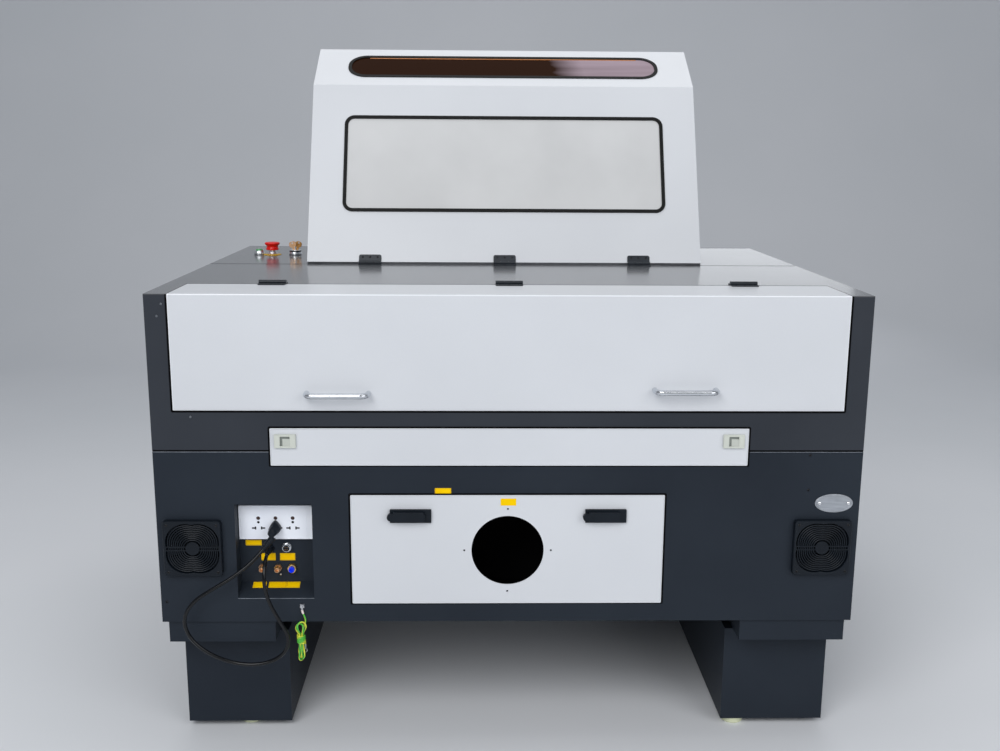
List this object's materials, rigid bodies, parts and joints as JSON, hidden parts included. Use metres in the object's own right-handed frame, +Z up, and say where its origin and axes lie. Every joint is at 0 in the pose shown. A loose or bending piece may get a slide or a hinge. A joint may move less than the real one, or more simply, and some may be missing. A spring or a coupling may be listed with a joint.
{
  "type": "laser engraver",
  "caption": "Floor-standing gantry laser engraver on pedestals: folded lid with windows, rear tube door, pass-through flap, exhaust door, moving head and bed.",
  "frame": {"origin": "centre of the footprint on the floor, cord left out", "axes": "-Y is the rear face with the connectors, +Y the operator side, +Z up, +X to the right seen from the rear"},
  "size_m": [1.5, 1.2738, 1.5568],
  "materials": {
    "case_paint": "fine texture powder coat",
    "upper_paint": "fine texture powder coat",
    "deck_paint": "gloss powder coat",
    "galvanised": "galvanised sheet",
    "white_paint": "smooth semi-gloss powder coat",
    "foot_plastic": "moulded",
    "white_plastic": "moulded gloss",
    "brass": "turned",
    "black_plastic": "moulded matt",
    "steel": "ground",
    "chrome": "polished",
    "hinge_black": "satin black",
    "smoked_acrylic": "clear tinted acrylic",
    "rubber": "extruded seal",
    "cream_plastic": "moulded matt",
    "red_plastic": "moulded gloss",
    "green_plastic": "translucent cap",
    "tube_glass": "borosilicate",
    "aluminium": "anodised",
    "instrument_case": "satin",
    "cable_black": "PVC sheath",
    "earth_sheath": "striped PVC sheath"
  },
  "bodies": {
    "cabinet": {"lower_rear_panel": "case_paint", "side_panels": "case_paint", "case_floor": "case_paint", "front_panel": "case_paint", "plinths": "case_paint", "pedestals": "case_paint", "connector_recess": "case_paint", "exhaust_plenum": "case_paint", "upper_rear_panel": "upper_paint", "rear_deck": "deck_paint", "top_covers": "deck_paint", "inner_walls": "galvanised", "chamber_floor": "galvanised", "tube_bay": "galvanised", "tube_cradles": "galvanised", "levelling_feet": "foot_plastic", "socket_plate": "white_plastic", "bulkhead_fittings": "brass", "cord_gland": "black_plastic", "fan_guards": "black_plastic", "fan_housings": "black_plastic", "control_panel": "black_plastic", "power_plug": "black_plastic", "earth_terminal": "steel", "y_rails": "steel", "bed_guide_posts": "steel", "control_bezels": "chrome", "hinge_leaves": "hinge_black", "laser_tube": "tube_glass", "laser_power_supply": "instrument_case", "motion_controller": "instrument_case", "power_cord": "cable_black", "earth_wire": "earth_sheath", "earth_hank": "earth_sheath"},
    "lid": {"lid_shell": "white_paint", "lid_windows": "smoked_acrylic", "lid_seals": "rubber", "lid_hinge_leaves": "hinge_black"},
    "left_strut_barrel": {"left_strut_cylinder": "hinge_black"},
    "left_strut_piston": {"left_strut_rod": "steel"},
    "right_strut_barrel": {"right_strut_cylinder": "hinge_black"},
    "right_strut_piston": {"right_strut_rod": "steel"},
    "rear_door": {"rear_door": "white_paint", "door_handles": "chrome", "door_hinge_leaves": "hinge_black"},
    "pass_flap": {"pass_flap": "white_paint"},
    "left_flap_latch": {"left_flap_latch": "cream_plastic"},
    "right_flap_latch": {"right_flap_latch": "cream_plastic"},
    "service_door": {"service_door": "white_paint", "lever_bases": "black_plastic"},
    "left_lever": {"left_door_lever": "black_plastic"},
    "right_lever": {"right_door_lever": "black_plastic"},
    "estop": {"estop_button": "red_plastic"},
    "start": {"start_button": "green_plastic"},
    "key": {"key": "steel"},
    "left_fan": {"left_fan_rotor": "black_plastic"},
    "right_fan": {"right_fan_rotor": "black_plastic"},
    "gantry": {"gantry": "aluminium"},
    "head": {"laser_head": "aluminium"},
    "bed": {"bed": "aluminium"}
  },
  "joints": [
    {"name": "lid_hinge", "type": "hinge", "parent": "cabinet", "child": "lid", "pos_m": [0, -0.021, 1.0047], "axis": [1, 0, 0], "range_deg": [-65.7, 0]},
    {"name": "left_strut_tilt", "type": "hinge", "parent": "cabinet", "child": "left_strut_barrel", "pos_m": [-0.485, 0.0295, 0.9397], "axis": [1, 0, 0], "range_deg": [-63, 0]},
    {"name": "left_strut_stroke", "type": "slide", "parent": "left_strut_barrel", "child": "left_strut_piston", "axis": [0, 0.2357, 0.9718], "range_m": [-0.092, 0]},
    {"name": "right_strut_tilt", "type": "hinge", "parent": "cabinet", "child": "right_strut_barrel", "pos_m": [0.485, 0.0295, 0.9397], "axis": [1, 0, 0], "range_deg": [-63, 0]},
    {"name": "right_strut_stroke", "type": "slide", "parent": "right_strut_barrel", "child": "right_strut_piston", "axis": [0, 0.2357, 0.9718], "range_m": [-0.092, 0]},
    {"name": "rear_door_hinge", "type": "hinge", "parent": "cabinet", "child": "rear_door", "pos_m": [0, -0.43, 1.0047], "axis": [-1, 0, 0], "range_deg": [0, 100]},
    {"name": "pass_flap_hinge", "type": "hinge", "parent": "cabinet", "child": "pass_flap", "pos_m": [0, -0.5993, 0.638], "axis": [1, 0, 0], "range_deg": [0, 85]},
    {"name": "left_latch_slide", "type": "slide", "parent": "pass_flap", "child": "left_flap_latch", "axis": [1, 0, 0], "range_m": [0, 0.008]},
    {"name": "right_latch_slide", "type": "slide", "parent": "pass_flap", "child": "right_flap_latch", "axis": [-1, 0, 0], "range_m": [0, 0.008]},
    {"name": "service_door_hinge", "type": "hinge", "parent": "cabinet", "child": "service_door", "pos_m": [-0.004, -0.5993, 0.328], "axis": [1, 0, 0], "range_deg": [0, 85]},
    {"name": "left_lever_turn", "type": "hinge", "parent": "service_door", "child": "left_lever", "pos_m": [-0.247, -0.606, 0.527], "axis": [0, 1, 0], "range_deg": [0, 90]},
    {"name": "right_lever_turn", "type": "hinge", "parent": "service_door", "child": "right_lever", "pos_m": [0.169, -0.606, 0.527], "axis": [0, 1, 0], "range_deg": [0, 90]},
    {"name": "estop_press", "type": "slide", "parent": "cabinet", "child": "estop", "axis": [0, 0, -1], "range_m": [0, 0.005], "stiffness_N_per_m": 400, "springref_m": -0.003},
    {"name": "start_press", "type": "slide", "parent": "cabinet", "child": "start", "axis": [0, 0, -1], "range_m": [0, 0.003], "stiffness_N_per_m": 300, "springref_m": -0.002},
    {"name": "key_turn", "type": "hinge", "parent": "cabinet", "child": "key", "pos_m": [-0.572, 0.217, 1.014], "axis": [0, 0, 1], "range_deg": [0, 90]},
    {"name": "left_fan_spin", "type": "hinge", "parent": "cabinet", "child": "left_fan", "pos_m": [-0.674, -0.575, 0.4565], "axis": [0, 1, 0], "continuous": true},
    {"name": "right_fan_spin", "type": "hinge", "parent": "cabinet", "child": "right_fan", "pos_m": [0.672, -0.575, 0.4565], "axis": [0, 1, 0], "continuous": true},
    {"name": "gantry_travel", "type": "slide", "parent": "cabinet", "child": "gantry", "axis": [0, 1, 0], "range_m": [-0.42, 0.2]},
    {"name": "head_travel", "type": "slide", "parent": "gantry", "child": "head", "axis": [1, 0, 0], "range_m": [-0.42, 0.42]},
    {"name": "bed_lift", "type": "slide", "parent": "cabinet", "child": "bed", "axis": [0, 0, 1], "range_m": [-0.15, 0]}
  ],
  "couplings": [
    {"joint": "left_strut_tilt", "follows": "lid_hinge", "ratio": 0.9021},
    {"joint": "left_strut_stroke", "follows": "lid_hinge", "m_per_rad": 0.07608},
    {"joint": "right_strut_tilt", "follows": "lid_hinge", "ratio": 0.9021},
    {"joint": "right_strut_stroke", "follows": "lid_hinge", "m_per_rad": 0.07608}
  ]
}
